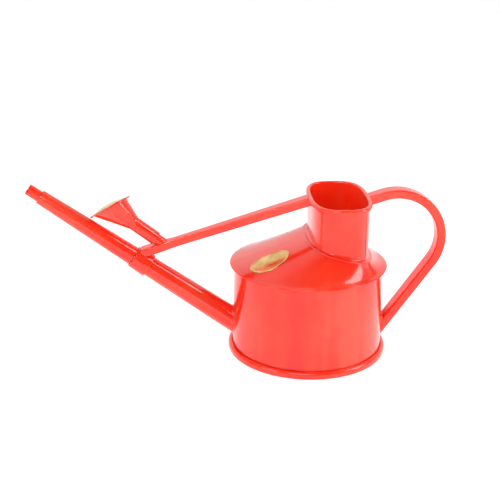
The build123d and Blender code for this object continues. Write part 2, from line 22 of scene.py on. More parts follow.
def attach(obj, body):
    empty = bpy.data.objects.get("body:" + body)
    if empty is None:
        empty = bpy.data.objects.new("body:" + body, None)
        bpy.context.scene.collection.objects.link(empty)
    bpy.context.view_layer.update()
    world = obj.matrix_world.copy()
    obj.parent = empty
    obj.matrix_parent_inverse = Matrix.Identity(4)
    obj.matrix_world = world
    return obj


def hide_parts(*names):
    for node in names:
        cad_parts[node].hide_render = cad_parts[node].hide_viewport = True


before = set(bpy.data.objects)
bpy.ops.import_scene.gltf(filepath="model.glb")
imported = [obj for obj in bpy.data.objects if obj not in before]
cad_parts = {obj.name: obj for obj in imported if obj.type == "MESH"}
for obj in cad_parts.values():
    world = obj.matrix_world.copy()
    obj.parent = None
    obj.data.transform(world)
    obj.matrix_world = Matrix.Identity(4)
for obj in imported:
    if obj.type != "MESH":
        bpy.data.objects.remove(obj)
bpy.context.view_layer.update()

# %% [markdown]
# ## The camera
#
# The can is seen from its near side, a little from the spout's end and from twenty degrees above. A camera
# could be aimed with a Track To constraint, but here its turn is built from three plain rotations: a roll
# about its own axis, a tilt up from looking straight down, and a turn about the vertical.

# %% Camera
CAMERA_PLACE = Vector((-0.08014, -0.62161, 0.30297))
CAMERA_TURN = radians(-3.51)
CAMERA_TILT = radians(90 - 20.10)
CAMERA_ROLL = radians(0.33)
CAMERA_LENS = 66.76
SENSOR_WIDTH = 36

bpy.ops.object.camera_add(location=CAMERA_PLACE)
camera = bpy.context.object
aim = Matrix.Rotation(CAMERA_TURN, 3, "Z") @ Matrix.Rotation(CAMERA_TILT, 3, "X")
aim = aim @ Matrix.Rotation(CAMERA_ROLL, 3, "Z")
camera.rotation_euler = aim.to_euler()
camera.data.lens = CAMERA_LENS
camera.data.sensor_width = SENSOR_WIDTH
bpy.context.scene.camera = camera
print("camera looks along", -aim.col[2])


# %% [markdown]
# ## Arithmetic on sockets
#
# A finish is a small calculation at each point of a surface. Adding Math nodes one by one hides the sum
# that they stand for. A small class wraps an output socket, so that a sum in Python adds the nodes for it,
# and one method adds any other node.

# %% A socket that can be calculated with
class Wire:
    """An output socket that can be used in sums."""

    def __init__(self, tree, socket=None):
        self.tree = tree
        self.socket = socket

    def node(self, kind, settings=None, values=None, out=0):
        """Add a node, its settings first and then its inputs, and wrap one of its outputs."""
        new = self.tree.nodes.new(kind)
        for name, setting in (settings or {}).items():
            if name == "stops":
                set_stops(new.color_ramp, setting)
            else:
                setattr(new, name, setting)
        for name, value in (values or {}).items():
            if isinstance(value, Wire):
                self.tree.links.new(value.socket, new.inputs[name])
            else:
                new.inputs[name].default_value = value
        return Wire(self.tree, new.outputs[out] if new.outputs else None)

    def math(self, operation, first, second=0.0):
        """Add a Math node."""
        return self.node("ShaderNodeMath", {"operation": operation}, {0: first, 1: second})

    def __add__(self, other):
        return self.math("ADD", self, other)

    __radd__ = __add__

    def __sub__(self, other):
        return self.math("SUBTRACT", self, other)

    def __rsub__(self, other):
        return self.math("SUBTRACT", other, self)

    def __mul__(self, other):
        return self.math("MULTIPLY", self, other)

    __rmul__ = __mul__

    def __abs__(self):
        return self.math("ABSOLUTE", self)


def set_stops(ramp, stops):
    """Give a colour ramp its stops, which are pairs of a place and a colour."""
    while len(ramp.elements) < len(stops):
        ramp.elements.new(1.0)
    for element, (place, colour) in zip(ramp.elements, stops):
        element.position = place
        element.color = colour


def grey(value):
    """A grey as a colour."""
    return (value, value, value, 1)


print("a middle grey is", grey(0.5))

# %% [markdown]
# ## Floor, sky and lamps
#
# Red gloss looks rich when it has something pale to reflect on some sides and something darker on others.
# The floor is one large plane, which glows a little so that the ground stays white. The sky is pale behind
# the can, a dim grey overhead and dimmer still on the camera's side, so faces turned away pick up a pale
# sheen and faces turned to the camera keep their red. A broad soft lamp hangs above and in front, and two
# tall panels at the sides draw long bands down the tank wall. Colours go to the screen as they are, because
# Blender's default view turns a bright saturated red towards pink.

# %% Plain colours
bpy.context.scene.view_settings.view_transform = "Standard"
print("view transform:", bpy.context.scene.view_settings.view_transform)

# %% Floor
FLOOR_SIZE = 60.0
FLOOR_TONE = 0.55
FLOOR_ROUGHNESS = 0.7
FLOOR_SPECULAR = 0.1
FLOOR_GLOW = 0.70


def let_go():
    """Deselect everything."""
    bpy.ops.object.select_all(action="DESELECT")


let_go()
bpy.ops.mesh.primitive_plane_add(size=FLOOR_SIZE, location=(0, 0, 0))
floor = bpy.context.object
floor.name = "floor"

white_floor = bpy.data.materials.new("white_floor")
white_floor.use_nodes = True
floor_skin = white_floor.node_tree.nodes["Principled BSDF"]
floor_skin.inputs["Base Color"].default_value = grey(FLOOR_TONE)
floor_skin.inputs["Roughness"].default_value = FLOOR_ROUGHNESS
floor_skin.inputs["Specular IOR Level"].default_value = FLOOR_SPECULAR
floor_skin.inputs["Emission Color"].default_value = grey(1.0)
floor_skin.inputs["Emission Strength"].default_value = FLOOR_GLOW
floor.data.materials.append(white_floor)
print("the floor is", FLOOR_SIZE, "m wide")

# %% Sky
SKY_BEHIND = 0.95
SKY_CAMERA_SIDE = 0.14
SKY_DIM_UNTIL = 0.42
SKY_PALE_FROM = 0.74

sky = bpy.data.worlds.new("studio_sky")
bpy.context.scene.world = sky
sky.use_nodes = True
sky.node_tree.nodes.clear()
air = Wire(sky.node_tree)
away = air.node("ShaderNodeTexCoord", out="Generated")
away_from_camera = air.node("ShaderNodeSeparateXYZ", values={"Vector": away}, out="Y")
shade = air.node(
    "ShaderNodeValToRGB",
    {"stops": [(SKY_DIM_UNTIL, grey(SKY_CAMERA_SIDE)), (SKY_PALE_FROM, grey(1.0))]},
    {"Fac": away_from_camera * 0.5 + 0.5},
)
glow = air.node("ShaderNodeBackground", values={"Color": shade, "Strength": SKY_BEHIND})
air.node("ShaderNodeOutputWorld", values={"Surface": glow})
print("the sky is made with", len(sky.node_tree.nodes), "nodes")


# %% Lamps
def soft_lamp(name, place, target, width, height, power):
    """Hang a large rectangular lamp at a place, facing a target."""
    bpy.ops.object.light_add(type="AREA", location=place)
    lamp = bpy.context.object
    lamp.name = name
    lamp.data.shape = "RECTANGLE"
    lamp.data.size = width
    lamp.data.size_y = height
    lamp.data.energy = power
    lamp.rotation_euler = (Vector(target) - Vector(place)).to_track_quat("-Z", "Y").to_euler()


CAN_MIDDLE = (-0.03, 0.0, 0.06)
soft_lamp("overhead", (-0.35, -1.3, 1.15), CAN_MIDDLE, 0.9, 0.9, 14.0)
soft_lamp("left_panel", (-1.0, -0.6, 0.6), CAN_MIDDLE, 0.5, 1.0, 4.0)
soft_lamp("right_panel", (1.05, -0.3, 0.6), CAN_MIDDLE, 0.4, 1.0, 8.0)

# %% [markdown]
# ## Moulded red plastic
#
# The real plastic is a saturated red with a clear, sharp gloss, and a little light goes into it and comes
# out again nearby. Close to, it isn't perfect: the surface heaves very slightly where the wall cooled, its
# gloss has faint cloudy patches, and a few hairline scratches cross it. A thin, sharper coat over a softer
# base gives the depth of polished plastic. Where the mould closed, a hair-fine line runs along the can's
# middle plane. All of it is worked out from the object's own coordinates, and most of it is noise, so no
# map has to be drawn.
# On the wall, the cover and the neck, an upright drawn-out noise raises faint ridges, which are relief. The
# same noise shifts the red towards pale and deep in long bands, which are painted reflection bands.

# %% Helpers for finishes
MM = 0.001


def blank_finish(name):
    """A new material without nodes, and a wire to build it with."""
    material = bpy.data.materials.new(name)
    material.use_nodes = True
    material.node_tree.nodes.clear()
    return material, Wire(material.node_tree)


def noise(spot, scale, detail, roughness):
    """Soft noise at a place: a larger scale gives smaller lumps."""
    return spot.node(
        "ShaderNodeTexNoise",
        values={"Vector": spot, "Scale": scale, "Detail": detail, "Roughness": roughness},
    )


def bumped(height):
    """The shading normal over a height in metres."""
    return height.node("ShaderNodeBump", values={"Strength": 1.0, "Distance": 1.0, "Height": height})


print("a millimetre is", MM, "of Blender's metres")

# %% Scratches and mould line
HAIR_STRETCH = (9, 260, 9)
HAIR_TURN = (0.3, 0.9, 0.5)
SEAM_HALF_WIDTH = 0.35 * MM


def scratches_on(spot):
    """A mask of a few hairline scratches: 1 on a scratch."""
    stretched = spot.node(
        "ShaderNodeMapping", values={"Vector": spot, "Rotation": HAIR_TURN, "Scale": HAIR_STRETCH}
    )
    hairs = noise(stretched, 9.0, 4.0, 0.7)
    return spot.node(
        "ShaderNodeMapRange",
        values={"Value": hairs, "From Min": 0.66, "From Max": 0.74, "To Min": 0.0, "To Max": 1.0},
    )


def mould_line(spot):
    """A mask of the fine line where the mould closed: 1 on the plane Y = 0."""
    across = spot.node("ShaderNodeSeparateXYZ", values={"Vector": spot}, out="Y")
    return spot.node(
        "ShaderNodeMapRange",
        {"interpolation_type": "SMOOTHSTEP"},
        {"Value": abs(across), "From Min": 0.0, "From Max": SEAM_HALF_WIDTH, "To Min": 1.0, "To Max": 0.0},
    )


print("the mould line is", 2 * SEAM_HALF_WIDTH / MM, "mm wide")

# %% Red plastic
RED = (0.96, 0.034, 0.008, 1)
DEEP_RED = (0.90, 0.015, 0.004, 1)
PALE_RED = (0.97, 0.070, 0.030, 1)
BASE_ROUGHNESS = 0.17
HEAVE_HEIGHT = 0.05 * MM
PEEL_HEIGHT = 0.004 * MM
SCRATCH_DEPTH = 0.004 * MM
STREAK_HEIGHT = 0.16 * MM
STREAK_STRETCH = 0.07
SEAM_HEIGHT = 0.25 * MM


def red_plastic(name, seam=False, streaks_and_painted_bands=0.0):
    """Mix a red plastic, with or without the mould line and upright streaking: its ridges are relief, and
    its pale and deep bands in the colour are painted reflection bands.
    """
    material, skin = blank_finish(name)
    spot = skin.node("ShaderNodeTexCoord", out="Object")
    clouds = noise(spot, 22.0, 3.0, 0.5)
    heave = noise(spot, 38.0, 1.0, 0.4)
    peel = noise(spot, 1400.0, 2.0, 0.5)
    scratches = scratches_on(spot)
    drawn_up = skin.node("ShaderNodeMapping", values={"Vector": spot, "Scale": (1, 1, STREAK_STRETCH)})
    flow_ridges_and_painted_bands = noise(drawn_up, 55.0, 2.0, 0.5)
    # The drawn-up noise shifts the red towards pale and deep in upright bands: painted reflection bands,
    # stripes of light and shade painted into the colour. The ridges it raises in the height below are
    # relief.
    colour = skin.node(
        "ShaderNodeValToRGB",
        {"stops": [(0.30, DEEP_RED), (0.50, RED), (0.70, PALE_RED)]},
        {"Fac": clouds + (flow_ridges_and_painted_bands - 0.5) * streaks_and_painted_bands},
    )
    height = heave * HEAVE_HEIGHT + peel * PEEL_HEIGHT - scratches * SCRATCH_DEPTH
    height = height + flow_ridges_and_painted_bands * (streaks_and_painted_bands * STREAK_HEIGHT)
    if seam:
        height = height + mould_line(spot) * SEAM_HEIGHT
    surface = skin.node(
        "ShaderNodeBsdfPrincipled",
        values={
            "Base Color": colour,
            "Roughness": clouds * 0.06 + scratches * 0.10 + (BASE_ROUGHNESS - 0.03),
            "IOR": 1.50,
            "Subsurface Weight": 0.5,
            "Subsurface Radius": (1.0, 0.05, 0.02),
            "Subsurface Scale": 5.0 * MM,
            "Coat Weight": 0.35,
            "Coat Roughness": 0.035,
            "Coat IOR": 1.45,
            "Normal": bumped(height),
        },
    )
    skin.node("ShaderNodeOutputMaterial", values={"Surface": surface})
    print("mixed", name, "with", len(material.node_tree.nodes), "nodes")
    return material


# The streaked red and the seamed red carry upright painted reflection bands in their colour.
plain_red = red_plastic("moulded_red")
streaked_red_with_painted_bands = red_plastic("moulded_red_streaked_with_painted_bands", streaks_and_painted_bands=1.0)
seamed_red_with_painted_bands = red_plastic("moulded_red_with_seam_and_painted_bands", seam=True, streaks_and_painted_bands=0.35)

# %% [markdown]
# ## Brass and foil
#
# The rose's face is thin pressed brass: warm and polished, with a very fine grain, and duller in patches.
# The badge is gold foil on plastic, crinkled, with a plain raised border. Both are metals, so their colour
# is the colour of what they reflect. One recipe makes both: a coarse noise drifts the colour between two
# tones, and a finer one roughens the surface.

# %% Brass and foil
BRASS = (0.90, 0.76, 0.46, 1)
BRASS_DULL = (0.74, 0.56, 0.28, 1)
FOIL = (0.66, 0.38, 0.11, 1)
FOIL_BRIGHT = (0.90, 0.66, 0.28, 1)


def metal(name, dark, bright, roughness, grain, grain_height, patch_scale):
    """Mix a metal whose colour drifts between two tones, with a fine grain."""
    material, skin = blank_finish(name)
    spot = skin.node("ShaderNodeTexCoord", out="Object")
    patches = noise(spot, patch_scale, 3.0, 0.6)
    fine = noise(spot, grain, 3.0, 0.6)
    colour = skin.node(
        "ShaderNodeValToRGB", {"stops": [(0.32, dark), (0.62, bright)]}, {"Fac": patches}
    )
    surface = skin.node(
        "ShaderNodeBsdfPrincipled",
        values={
            "Base Color": colour,
            "Metallic": 1.0,
            "Roughness": patches * 0.12 + (roughness - 0.06),
            "Normal": bumped(fine * grain_height),
        },
    )
    skin.node("ShaderNodeOutputMaterial", values={"Surface": surface})
    print("mixed", name, "with", len(material.node_tree.nodes), "nodes")
    return material


pressed_brass = metal("pressed_brass", BRASS_DULL, BRASS, 0.24, 900.0, 0.010 * MM, 130.0)
gold_foil = metal("gold_foil", FOIL, FOIL_BRIGHT, 0.24, 190.0, 0.16 * MM, 85.0)

# %% [markdown]
# ## Turned pieces
#
# Much of the can is round: the foot, the wall, the collar, the upper tube, its tip and the peg. Such a
# piece is turned, as on a lathe. A Screw modifier could do it, but the spin operator takes any axis, and
# the spout leans. The outline is drawn corner by corner, by extruding a single corner. Its corners are
# rounded with a vertex bevel, and it is spun through a full turn.

# %% Picking corners and closing a mesh
MERGE_DISTANCE = 0.002 * MM


def pick(piece, test):
    """In edit mode, select only the corners that pass a test."""
    bpy.ops.mesh.select_all(action="DESELECT")
    mesh = bmesh.from_edit_mesh(piece.data)
    for corner in mesh.verts:
        corner.select = test(corner.co)
    mesh.select_flush(True)
    bmesh.update_edit_mesh(piece.data)


def close_up(piece):
    """Merge doubled corners, point the faces outwards and leave edit mode."""
    bpy.ops.mesh.select_all(action="SELECT")
    bpy.ops.mesh.remove_doubles(threshold=MERGE_DISTANCE)
    bpy.ops.mesh.normals_make_consistent(inside=False)
    bpy.ops.object.mode_set(mode="OBJECT")
    return piece


print("corners nearer than", MERGE_DISTANCE / MM, "mm become one")

# %% Turning
Z = Vector((0, 0, 1))
SAME_PLACE = 0.001 * MM
ROUNDING_STEPS = 5


def turned(name, outline, foot=Vector((0, 0, 0)), way=Z, steps=96):
    """Spin an outline of (radius, height, rounding) in millimetres round an axis; foot is in metres."""
    out = way.orthogonal().normalized()
    spots = [foot + (out * radius + way * height) * MM for radius, height, _ in outline]
    let_go()
    bpy.ops.mesh.primitive_plane_add(size=MM, location=spots[0])
    piece = bpy.context.object
    piece.name = name
    bpy.ops.object.transform_apply(location=True)
    bpy.ops.object.mode_set(mode="EDIT")
    bpy.ops.mesh.merge(type="CENTER")
    for here, there in zip(spots, spots[1:]):
        bpy.ops.mesh.extrude_region_move(TRANSFORM_OT_translate={"value": there - here})
    for rounding in sorted({corner[2] for corner in outline if corner[2]}):
        ends = [spot for spot, corner in zip(spots, outline) if corner[2] == rounding]
        pick(piece, lambda place: any((place - end).length < SAME_PLACE for end in ends))
        bpy.ops.mesh.bevel(offset=rounding * MM, segments=ROUNDING_STEPS, affect="VERTICES")
    bpy.ops.mesh.select_all(action="SELECT")
    bpy.ops.mesh.spin(steps=steps, angle=2 * pi, center=foot, axis=way)
    return close_up(piece)


print("each rounded corner has", ROUNDING_STEPS, "steps")

# %% Finishing a piece
SHARP_ANGLE = radians(32)


def finish_piece(piece, body, node, material):
    """Shade a piece, give it its material and let it stand for its CAD node."""
    let_go()
    bpy.context.view_layer.objects.active = piece
    piece.select_set(True)
    bpy.ops.object.transform_apply(location=True, rotation=True, scale=True)
    bpy.ops.object.shade_smooth_by_angle(angle=SHARP_ANGLE)
    piece.data.materials.clear()
    piece.data.materials.append(material)
    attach(piece, body)
    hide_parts(node)
    print(piece.name, len(piece.data.polygons), "faces")


print("edges sharper than", round(degrees(SHARP_ANGLE)), "degrees stay crisp")

# %% [markdown]
# ## The foot and the tank wall
#
# The can stands on a rolled foot ring, with a floor set a little above the table. A low ring on the floor
# locates the wall. Both pieces are round, so both are turned. The wall is a plain tapered shell: the hole
# for the spout is cut with a Boolean, as a drill would.

# %% Foot ring and floor
FOOT_RADIUS = 57.5
FOOT_HEIGHT = 5.2
RING_INSIDE_RADIUS = 51.0
FLOOR_BOTTOM = 3.4
GROOVE_BOTTOM = 4.3
UPSTAND_TOP = 10.2
UPSTAND_INSIDE_RADIUS = 51.1

foot_ring = turned(
    "foot_ring",
    [
        (0, FLOOR_BOTTOM, 0),
        (RING_INSIDE_RADIUS, FLOOR_BOTTOM, 0.5),
        (RING_INSIDE_RADIUS, 0, 0.6),
        (FOOT_RADIUS, 0, 1.0),
        (FOOT_RADIUS, FOOT_HEIGHT, 2.2),
        (54.9, FOOT_HEIGHT, 0.25),
        (54.8, GROOVE_BOTTOM, 0.15),
        (53.2, GROOVE_BOTTOM, 0),
        (52.9, UPSTAND_TOP, 0.5),
        (UPSTAND_INSIDE_RADIUS, UPSTAND_TOP, 0.5),
        (UPSTAND_INSIDE_RADIUS, FOOT_HEIGHT, 0.8),
        (0, FOOT_HEIGHT, 0),
    ],
    steps=160,
)
finish_piece(foot_ring, "can", "base_pan", plain_red)

# %% Drilling and cutting
def drill(middle, way, radius, depth, vertices):
    """Add a plain cylinder along a way, in millimetres, as a tool to cut with."""
    let_go()
    bpy.ops.mesh.primitive_cylinder_add(
        vertices=vertices,
        radius=radius * MM,
        depth=depth * MM,
        location=middle * MM,
        rotation=way.to_track_quat("Z", "Y").to_euler(),
    )
    return bpy.context.object


def cut_away(piece, tool):
    """Cut a tool's shape out of a piece and throw the tool away."""
    let_go()
    bpy.context.view_layer.objects.active = piece
    piece.select_set(True)
    cut = piece.modifiers.new("cut", "BOOLEAN")
    cut.object = tool
    cut.operation = "DIFFERENCE"
    cut.solver = "EXACT"
    bpy.ops.object.modifier_apply(modifier=cut.name)
    bpy.data.objects.remove(tool)


print("a tool is cut away with a Boolean")

# %% Tank wall
WALL_FOOT_RADIUS = 54.6
WALL_TOP_RADIUS = 53.2
WALL_BOTTOM = 4.6
WALL_TOP = 65.9
WALL_THICKNESS = 1.6
SPOUT_ANGLE = radians(35.5)
SPOUT_WAY = Vector((-cos(SPOUT_ANGLE), 0, sin(SPOUT_ANGLE)))
SPOUT_ROOT = Vector((-54.0, 0, 21.3))
ROOT_RADIUS = 8.4
ROOT_SINK = 0.2

wall = turned(
    "wall",
    [
        (WALL_FOOT_RADIUS, WALL_BOTTOM, 0),
        (WALL_TOP_RADIUS, WALL_TOP, 0),
        (WALL_TOP_RADIUS - WALL_THICKNESS, WALL_TOP, 0),
        (WALL_FOOT_RADIUS - WALL_THICKNESS, WALL_BOTTOM, 0),
        (WALL_FOOT_RADIUS, WALL_BOTTOM, 0),
    ],
    steps=200,
)
cut_away(wall, drill(SPOUT_ROOT, SPOUT_WAY, ROOT_RADIUS - ROOT_SINK, 20, 64))
# The wall's red has upright painted reflection bands in its colour.
finish_piece(wall, "can", "tank_wall", streaked_red_with_painted_bands)

# %% [markdown]
# ## The cover and the filler neck
#
# The cover is the most shapely piece. It starts as a sloping rim round the top of the wall and turns from a
# circle into the squarish oval that the neck stands on, falling towards the handle. A loft could make it,
# but rings give full control: each ring lies between the rim's circle and the ledge's oval, and sags a
# little between them. The circle's corners are spaced so that the four sides come out nearly flat and the
# turn happens at the oval's corners.
#
# A piece that isn't round, such as the cover or the neck, is drawn over its rings. It starts from a circle
# whose corners are moved to the first ring. Each further ring is extruded from the last, and its corners
# are moved to their places.

# %% Drawing over rings
def drawn_over(name, rings, capped=False):
    """Start from a circle and extrude it once for each further ring, moving its corners to their places."""
    let_go()
    bpy.ops.mesh.primitive_circle_add(vertices=len(rings[0]), radius=MM)
    piece = bpy.context.object
    piece.name = name
    for corner, spot in zip(piece.data.vertices, rings[0]):
        corner.co = spot
    bpy.ops.object.mode_set(mode="EDIT")
    bpy.ops.mesh.select_all(action="SELECT")
    if capped:
        bpy.ops.mesh.edge_face_add()
    for last, ring in zip(rings, rings[1:]):
        move_ring(piece, last, ring)
    if capped:
        bpy.ops.mesh.edge_face_add()
    return close_up(piece)


def move_ring(piece, last, ring):
    """Extrude the selected ring and move each of its new corners."""
    bpy.ops.mesh.extrude_edges_move()
    near = KDTree(len(last))
    for number, spot in enumerate(last):
        near.insert(spot, number)
    near.balance()
    mesh = bmesh.from_edit_mesh(piece.data)
    for corner in mesh.verts:
        if corner.select:
            corner.co = ring[near.find(corner.co)[1]]
    bmesh.update_edit_mesh(piece.data)


print("a piece that isn't round is drawn over rings")

# %% Shape of the neck's plan
AROUND = 160
NECK_X = 20.3
NECK_HALF_X = 20.4
NECK_HALF_Y = 36.0
NECK_POWER = 3.0


def turns(count):
    """Evenly spaced angles of one full turn."""
    return [2 * pi * step / count for step in range(count)]


def reach_at(turn, power):
    """How far out a superellipse with half widths of 1 lies at an angle."""
    return (abs(cos(turn)) ** power + abs(sin(turn)) ** power) ** (-1 / power)


def neck_spot(turn, grow, power=NECK_POWER):
    """A point of the neck's plan, grown by an amount."""
    reach = reach_at(turn, power)
    along = (NECK_HALF_X + grow) * reach * cos(turn)
    return Vector((NECK_X + along, (NECK_HALF_Y + grow) * reach * sin(turn), 0))


print("the neck's plan is", 2 * NECK_HALF_X, "by", 2 * NECK_HALF_Y, "mm")

# %% Rings on the ledge
LEDGE_POWER = 2.6
LEDGE_HEIGHT = 79.5
LEDGE_FALL = tan(radians(14.3))


def ledge_height(x):
    """Height of the sloping ledge at a place along the can."""
    return LEDGE_HEIGHT - (x - NECK_X) * LEDGE_FALL


def ledge_ring(grow, above, power=LEDGE_POWER):
    """A ring that lies a little above the sloping ledge."""
    ring = []
    for turn in turns(AROUND):
        spot = neck_spot(turn, grow, power)
        ring.append((spot + Z * (ledge_height(spot.x) + above)) * MM)
    return ring


print("the ledge falls", round(2 * NECK_HALF_X * LEDGE_FALL, 1), "mm from front to back")

# %% Rings of the cover
CORNER_PULL = 0.45


def rim_ring(radius, height):
    """A level circle round the can, its corners drawn towards the corners of the oval."""
    ring = []
    for turn in turns(AROUND):
        pulled = turn - CORNER_PULL * sin(4 * turn) / 4
        ring.append(Vector((radius * cos(pulled), radius * sin(pulled), height)) * MM)
    return ring


def between(low, high, share, sag):
    """A ring between two others, sunk by a sag that is greatest halfway."""
    drop = Z * (sag * 4 * share * (1 - share) * MM)
    return [a.lerp(b, share) - drop for a, b in zip(low, high)]


print("each ring has", len(rim_ring(1.0, 0.0)), "corners")

# %% Cover
RIM_RADIUS = 56.4
RIM_BOTTOM = 65.0
RIM_INSIDE_RADIUS = 53.2
RIM_TOP = 66.9
COVER_THICKNESS = 1.6
COVER_SAG = 0.7
LEDGE_WIDTH = 3.5
NECK_WALL = 1.6
INNER_LIP_INSIDE = 50.2
INNER_LIP_OUTSIDE = 51.4
GROOVE_OUTSIDE = 53.4
SHARES = [step / 14 for step in range(1, 14)]
BEAD = [(55.9, 0), (56.2, 0.07), (56.36, 0.22), (RIM_RADIUS, 0.4), (56.34, 0.6)]
BEAD += [(56.15, 0.78), (55.8, 0.93), (54.6, 1.36), (53.7, 1.70)]

outer_foot = rim_ring(RIM_INSIDE_RADIUS, RIM_TOP)
outer_head = ledge_ring(LEDGE_WIDTH, 0)
inner_foot = rim_ring(INNER_LIP_INSIDE, WALL_TOP)
inner_head = ledge_ring(LEDGE_WIDTH - COVER_THICKNESS, -COVER_THICKNESS)

cover_rings = [
    rim_ring(INNER_LIP_INSIDE, RIM_BOTTOM),
    rim_ring(INNER_LIP_OUTSIDE, RIM_BOTTOM),
    rim_ring(INNER_LIP_OUTSIDE, WALL_TOP),
    rim_ring(GROOVE_OUTSIDE, WALL_TOP),
    rim_ring(GROOVE_OUTSIDE, RIM_BOTTOM),
]
cover_rings += [rim_ring(radius, RIM_BOTTOM + above) for radius, above in BEAD]
cover_rings += [outer_foot]
cover_rings += [between(outer_foot, outer_head, share, COVER_SAG) for share in SHARES]
cover_rings += [outer_head, ledge_ring(-NECK_WALL, 0, NECK_POWER)]
cover_rings += [ledge_ring(-NECK_WALL, -COVER_THICKNESS, NECK_POWER), inner_head]
cover_rings += [between(inner_foot, inner_head, share, COVER_SAG) for share in reversed(SHARES)]
cover_rings += [inner_foot, cover_rings[0]]
cover = drawn_over("cover", cover_rings)
# The cover's red has faint upright painted reflection bands in its colour.
finish_piece(cover, "can", "shoulder_cover", seamed_red_with_painted_bands)

# %% Rings of the neck
NECK_TOP = 115.4
LEDGE_THICKNESS = 1.2
FLARE = 3.9
FLARE_SPREAD = LEDGE_WIDTH / (FLARE + 0.6)


def neck_ring(grow, height):
    """A level ring of the neck."""
    return [(neck_spot(turn, grow) + Z * height) * MM for turn in turns(AROUND)]


def flare_ring(share):
    """A ring on the hollow rounding between the ledge and the upright wall."""
    lean = share * pi / 2
    out = FLARE * (1 - sin(lean))
    above = LEDGE_THICKNESS + FLARE * (1 - cos(lean))
    ring = []
    for turn in turns(AROUND):
        wall_spot = neck_spot(turn, 0)
        foot_spot = neck_spot(turn, out * FLARE_SPREAD, LEDGE_POWER)
        spot = wall_spot.lerp(foot_spot, out / FLARE)
        ring.append((spot + Z * (ledge_height(spot.x) + above)) * MM)
    return ring


print("the neck's mouth is", NECK_TOP, "mm above the table")

# %% Filler neck
LIP_WIDTH = 1.5
LIP_HEIGHT = 3.0
FLARE_STEPS = 7
LIP_OUTSIDE = [(-0.7, 0.02), (-0.3, 0.16), (-0.06, 0.5), (0, 0.95)]
LIP_TOP = [(LIP_WIDTH - 0.03, 1.25), (LIP_WIDTH - 0.25, 0.62), (LIP_WIDTH - 0.7, 0.18)]
LIP_TOP += [(LIP_WIDTH - 1.4, 0), (-0.5, 0.02), (-1.05, 0.2), (-1.45, 0.6), (-NECK_WALL, 1.2)]
LIP_TOP += [(-NECK_WALL, 12)]

lip_foot = NECK_TOP - LIP_HEIGHT
neck_rings = [ledge_ring(-NECK_WALL, 0.02, NECK_POWER), ledge_ring(LEDGE_WIDTH - 0.15, 0.02)]
neck_rings += [ledge_ring(LEDGE_WIDTH, 0.15), ledge_ring(LEDGE_WIDTH, 0.75)]
neck_rings += [ledge_ring(LEDGE_WIDTH - 0.1, 1.0), ledge_ring(LEDGE_WIDTH - 0.4, LEDGE_THICKNESS)]
neck_rings += [flare_ring(step / FLARE_STEPS) for step in range(FLARE_STEPS + 1)]
neck_rings += [neck_ring(0, lip_foot - 0.4), neck_ring(0, lip_foot)]
neck_rings += [neck_ring(LIP_WIDTH + grow, lip_foot + above) for grow, above in LIP_OUTSIDE]
neck_rings += [neck_ring(grow, NECK_TOP - below) for grow, below in LIP_TOP]
neck_rings += [neck_rings[0]]
neck = drawn_over("neck", neck_rings)
# The neck's red has faint upright painted reflection bands in its colour.
finish_piece(neck, "can", "filler_neck", seamed_red_with_painted_bands)

# %% [markdown]
# ## The spout
#
# The spout is two tapered tubes. The lower one grows out of the tank wall with a small fillet, so its root
# follows the wall's curve: for each of its corners, the root is found by walking along the spout's axis
# until it meets the wall. The collar, the pull-out upper tube and the nozzle tip are turned.

# %% The spout's axis
Y = Vector((0, 1, 0))
SPOUT_SIDE = Vector((sin(SPOUT_ANGLE), 0, cos(SPOUT_ANGLE)))
ROUND = 72


def wall_radius(height):
    """Outside radius of the tapered wall, in millimetres."""
    share = (height - FOOT_HEIGHT) / (WALL_TOP - FOOT_HEIGHT)
    return WALL_FOOT_RADIUS + share * (WALL_TOP_RADIUS - WALL_FOOT_RADIUS)


def spout_spot(turn, radius, along):
    """A point beside the spout's axis."""
    out = SPOUT_SIDE * cos(turn) + Y * sin(turn)
    return SPOUT_ROOT + out * radius + SPOUT_WAY * along


def meets_wall(turn, radius, inwards=0.0):
    """How far along the spout a line beside its axis leaves the wall."""
    near, far = -30.0, 40.0
    for _ in range(40):
        middle = (near + far) / 2
        spot = spout_spot(turn, radius, middle)
        if spot.xy.length < wall_radius(spot.z) - inwards:
            near = middle
        else:
            far = middle
    return near


print("the spout leaves the wall", round(meets_wall(0, 0), 2), "mm along its axis")

# %% Rings of the lower spout
LOWER_END = 80.5
LOWER_END_RADIUS = 7.1
ROOT_STRAIGHT = 9.0


def root_ring(radius, beyond, inwards=0.0):
    """A ring on the wall round the spout's root, moved along the spout."""
    return [
        spout_spot(turn, radius, meets_wall(turn, radius, inwards) + beyond) * MM
        for turn in turns(ROUND)
    ]


def tube_ring(radius, along):
    """A ring square to the spout's axis."""
    return [spout_spot(turn, radius, along) * MM for turn in turns(ROUND)]


def lower_radius(along):
    """Outside radius of the lower spout."""
    share = max(along - ROOT_STRAIGHT, 0) / (LOWER_END - ROOT_STRAIGHT)
    return ROOT_RADIUS + share * (LOWER_END_RADIUS - ROOT_RADIUS)


print("the lower spout narrows to", lower_radius(LOWER_END), "mm")

# %% Lower spout
LOWER_WALL = 1.6
GUIDE_RADIUS = 5.85
GUIDE_START = 71.5
ROOT_FILLET = 1.3
FILLET_PROFILE = [(0.62, 0.18), (0.30, 0.48), (0.09, 0.95), (0.0, 1.6)]

